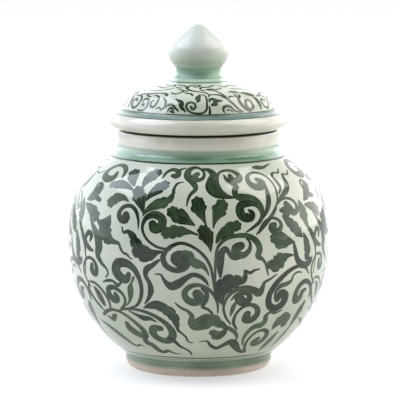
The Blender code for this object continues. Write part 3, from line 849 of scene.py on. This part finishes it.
def jar_glaze():
    """The body: painted scroll, green band under the pale neck, dark rings, plain lining, painted shadow on
    the lip.
    """
    g = material("jar_glaze")
    colour = brushed(g, celadon_ground(g, 12))
    height = g.wavering(g.height, 1, 25)
    collar = g.cloudy(40, (218, 215, 201), (198, 194, 179))
    colour = g.mix(g.past(height, 130.2, 131.6), colour, collar)
    green = g.cloudy(34, (142, 172, 150), (110, 144, 118))
    pooled = g.mix(g.past(height, 126, 130.4), green, (156, 172, 154))
    patch = g.times(g.smooth(g.noise(38, 3), 0.4, 0.6), g.band(height, 125.8, 128, 0.8))
    pooled = g.mix(g.times(patch, 0.7), pooled, (74, 116, 82))
    colour = g.mix(g.band(height, 124.6, 131, 0.7), colour, pooled)
    line = g.wavering(g.height, 0.5, 40)
    colour = ringed(g, colour, line, (NECK_RING, 0.42), (12.6, 0.42), (11.2, 0.22))
    # Painted shadow: a dark brown band over the top of the lip, where the lid shades the gap over the neck.
    colour = g.mix(g.past(height, 137.9, 138.7), colour, (58, 54, 42))
    base = g.cloudy(40, (126, 148, 126), (106, 128, 108))
    colour = g.mix(g.past(g.height, 10.8, 10.2), colour, base)
    return g.glaze(lined(g, colour, g.cloudy(22, (206, 207, 192), (188, 194, 176))))


def lid_glaze():
    """The lid: painted dome between dark rings, grey-green band above the rim, cream rim and lining, painted
    shadow under the rim.
    """
    g = material("lid_glaze")
    colour = brushed(g, celadon_ground(g, 112))
    height = g.wavering(g.height, 0.5, 40)
    radius = g.wavering(g.radius, 0.5, 40)
    band = g.cloudy(45, (112, 134, 120), (78, 102, 90))
    colour = g.mix(g.band(height, 148.6, 151.3, 0.2), colour, band)
    colour = ringed(g, colour, height, (RIM_RING, 0.25), (148.8, 0.18))
    cream = g.cloudy(30, (203, 201, 187), (184, 183, 166))
    colour = g.mix(g.past(height, 148.5, 148.2), colour, cream)
    colour = ringed(g, colour, radius, (20.7, 0.3), (19.2, 0.2))
    colour = g.mix(g.band(radius, 19.2, 20.7, 0.1), colour, (86, 112, 96))
    colour = g.mix(g.past(radius, 19, 18.8), colour, g.cloudy(40, (190, 208, 190), (160, 186, 164)))
    # Painted shadow: the underside of the rim is darkened where it hangs over the neck.
    colour = g.mix(g.past(height, 140.4, 139.9), colour, (84, 80, 64))
    return g.glaze(lined(g, colour, cream))


def knob_glaze():
    """The knob: pale crown, greyer belly with the marks of the brush, green neck."""
    g = material("knob_glaze")
    height = g.wavering(g.height, 1.2, 30)
    crown = g.cloudy(60, (194, 197, 188), (180, 188, 175))
    belly = g.cloudy(60, (178, 187, 169), (160, 171, 152))
    colour = g.mix(g.past(height, 190, 177), crown, belly)
    rings = g.noise(1, 3, g.vector(0.0, 0.0, g.times(g.wavering(g.height, 0.8, 60), 1400.0)))
    rings = g.times(g.smooth(rings, 0.5, 0.75), g.past(height, 188, 178))
    colour = g.mix(g.times(rings, 0.45), colour, (122, 136, 116))
    neck = g.cloudy(45, (146, 176, 154), (114, 148, 124))
    return g.glaze(g.mix(g.past(height, 175.6, 174.4), colour, neck), 0.26)


def foot_clay():
    """The foot: green glaze that runs out above a bare pinkish edge."""
    g = material("foot_clay")
    glazed = g.past(g.wavering(g.height, 3, 24), 3.4, 6.2)
    glaze = g.cloudy(40, (126, 142, 121), (100, 117, 97))
    colour = g.mix(glazed, g.cloudy(60, (202, 187, 172), (184, 171, 156)), glaze)
    return g.bare(colour, g.math("SUBTRACT", 0.75, g.times(glazed, 0.58)))


def flange_clay():
    """The flange under the lid: bare clay."""
    g = material("flange_clay")
    return g.bare(g.cloudy(60, (214, 206, 194), (196, 186, 172)))


# ---- the pieces

def jar_body():
    """The body, from its floor over the lip and down the outside; the scroll lies below the neck."""
    curve = outline("jar_body", (0.0, jar_low.z + 6 * MM), False)
    lining, neck, zone, lower = split_at(
        curve, (44.3 * MM, SEAT), (51.8 * MM, NECK_RING * MM), (48.6 * MM, FOOT_RING * MM)
    )
    groups = ((BODY_SCROLLS, 0, 1.08), (BODY_LEAVES, 5 * MM, 1.1))
    chart = Chart(zone, False)
    strokes = strokes_round(chart, groups, 30, 0.8 * MM)
    shell = Shell().plain(lining, True).plain(neck).painted(chart, strokes).plain(lower)
    shell.finish("painted_jar", jar_glaze(), "jar", "jar_body", "painted_jar_glaze")


def foot_ring():
    """The foot; its top reaches a millimetre into the body, so that no gap shows."""
    curve = outline("foot_ring", (foot_high.x, foot_high.z), True)
    curve[curve[:, 1] > foot_high.z - 0.35 * MM, 1] += jar_low.z - foot_high.z + 1.0 * MM
    Shell().plain(curve).finish("thrown_foot", foot_clay(), "jar", "foot_ring", "foot_clay")


def lid_dome():
    """The dome, from its air hole over the rim and back along its lining."""
    curve = outline("lid_dome", (2.5 * MM, dome_high.z), True)
    top, zone, rim, lining = split_at(
        curve, (21.2 * MM, 167.3 * MM), (45.5 * MM, RIM_RING * MM), (46.5 * MM, dome_low.z)
    )
    groups = ((LID_SCROLLS, 0, 1.0), (LID_LEAVES, 2.5 * MM, 1.1))
    chart = Chart(zone, True)
    strokes = strokes_round(chart, groups, 12, 0.5 * MM)
    shell = Shell().plain(top).painted(chart, strokes).plain(rim).plain(lining, True)
    shell.finish("painted_lid", lid_glaze(), "lid", "lid_dome", "painted_lid_glaze")


def lid_flange():
    """The bare ring under the dome, which drops into the neck."""
    curve = outline("lid_flange", (36.6 * MM, SEAT), True)
    Shell().plain(curve).finish("locating_flange", flange_clay(), "lid", "lid_flange", "flange_clay")


def lid_knob():
    """The knob; its belly stands 0.9 mm higher than in the CAD, and its base is let down onto the dome."""
    curve = outline("lid_knob", (0.0, knob_high.z), False)
    rise = np.clip((curve[:, 1] - SEAT - 32 * MM) / (6 * MM), 0, 1)
    curve[:, 1] += 0.9 * MM * rise * np.clip((knob_high.z - curve[:, 1]) / (9 * MM), 0, 1)
    curve[curve[:, 1] < knob_low.z + 0.3 * MM, 1] -= knob_low.z - dome_high.z
    Shell().plain(curve).finish("bud_knob", knob_glaze(), "lid", "lid_knob", "knob_glaze")


jar_body()
foot_ring()
lid_dome()
lid_flange()
lid_knob()


# ---- stage

def aim(thing, target):
    """Turns a light or a camera towards a point."""
    thing.rotation_euler = (Vector(target) - thing.location).to_track_quat("-Z", "Y").to_euler()


def softbox(name, place_at, power, colour):
    """A large rectangular light above the jar, aimed at its middle."""
    light = bpy.data.lights.new(name, "AREA")
    light.shape = "RECTANGLE"
    light.size, light.size_y = 1.2, 1.0
    light.energy = power
    light.color = colour
    box = bpy.data.objects.new(name, light)
    box.location = place_at
    bpy.context.scene.collection.objects.link(box)
    aim(box, (0, 0, 0.1))


def floor():
    """A plain white floor, bright enough to merge with the studio behind it."""
    bpy.ops.mesh.primitive_plane_add(size=12, location=(0, 0, -0.2 * MM))
    ground = bpy.context.object
    ground.name = "floor"
    glow = {"Emission Color": (255, 255, 255), "Emission Strength": 0.45}
    ground.data.materials.append(material("floor_white").surface((188, 188, 188), Roughness=0.9, **glow))


def studio():
    """Soft light all round: brightest low behind the jar, dim behind the camera, cooler at the left."""
    world = bpy.context.scene.world or bpy.data.worlds.new("World")
    bpy.context.scene.world = world
    g = Graph(world, "Generated")
    depth = g.smooth(g.axes["Y"], -0.65, 0.2, 0.19, 3.1)
    strength = g.times(depth, g.smooth(g.axes["Z"], 0.15, 0.85, 1.0, 0.25))
    across = g.node("ShaderNodeMapRange", {"Value": g.axes["X"], "From Min": -0.8, "From Max": 0.8})
    tint = g.mix(across.outputs["Result"], [0.86, 0.90, 1.0, 1.0], [1.0, 1.0, 0.98, 1.0])
    g.fill(g.nodes["Background"], {"Strength": strength, "Color": tint})


def camera():
    """Seen from a little above, through a long lens."""
    distance, pitch = 1.535, math.radians(7.84)
    target = Vector((0.9 * MM, 0, 96.8 * MM))
    data = bpy.data.cameras.new("camera")
    data.sensor_width = 36
    data.lens = 237.2
    view = bpy.data.objects.new("camera", data)
    view.location = target + distance * Vector((0, -math.cos(pitch), math.sin(pitch)))
    bpy.context.scene.collection.objects.link(view)
    aim(view, target)
    bpy.context.scene.camera = view


floor()
studio()
softbox("left_box", (-0.92, 0.0, 1.28), 21, (0.80, 0.84, 1.0))
softbox("right_box", (0.92, 0.0, 1.28), 14, (1.0, 0.99, 0.97))
bpy.context.scene.view_settings.view_transform = "Standard"
camera()
